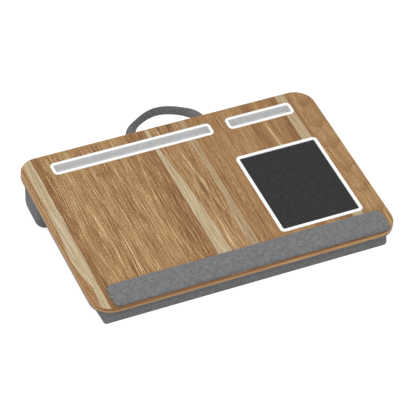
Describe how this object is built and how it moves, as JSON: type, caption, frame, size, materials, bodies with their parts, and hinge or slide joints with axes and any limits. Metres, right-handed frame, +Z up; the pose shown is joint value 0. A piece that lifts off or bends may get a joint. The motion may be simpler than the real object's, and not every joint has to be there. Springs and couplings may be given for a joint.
{
  "type": "cushioned lap desk",
  "caption": "Wood-grain lap desk on two fabric bolsters, with a tablet slot, a phone slot, a framed mouse pad, a padded wrist rest and a folding webbing handle.",
  "frame": {"origin": "on the floor, under the middle of the desk's box, handle included", "axes": "+X to the user's right along the board's long side, +Y away from the user towards the handle, +Z up"},
  "size_m": [0.6, 0.4476, 0.1015],
  "materials": {
    "fibreboard": "matte",
    "wood_grain": "satin",
    "edge_band": "satin",
    "backing": "matte",
    "white_abs": "satin",
    "pad_sheet": "matte",
    "pad_foam": "matte",
    "stiffener": "matte",
    "cushion_foam": "matte",
    "melange_fabric": "matte",
    "webbing": "matte"
  },
  "bodies": {
    "root": {"desk_board": "fibreboard", "wood_grain_laminate": "wood_grain", "edge_band": "edge_band", "balancing_sheet": "backing", "tablet_tray": "white_abs", "phone_tray": "white_abs", "mouse_pad_frame": "white_abs", "mouse_pad_sheet": "pad_sheet", "mouse_pad_foam": "pad_foam", "wrist_rest_strip": "stiffener", "wrist_rest_foam": "cushion_foam", "wrist_rest_cover": "melange_fabric", "cushion_panel": "melange_fabric", "front_bolster_band": "melange_fabric", "front_bolster_base": "melange_fabric", "front_bolster_foam": "cushion_foam", "rear_bolster_wrap": "melange_fabric", "rear_bolster_ends": "melange_fabric", "rear_bolster_filling": "cushion_foam", "handle_tails": "webbing"},
    "handle": {"handle_strap": "webbing"}
  },
  "joints": [
    {"name": "handle_fold", "type": "hinge", "parent": "root", "child": "handle", "pos_m": [0.007, 0.1757, 0.0863], "axis": [1, 0, 0], "range_deg": [-90, 85]}
  ]
}
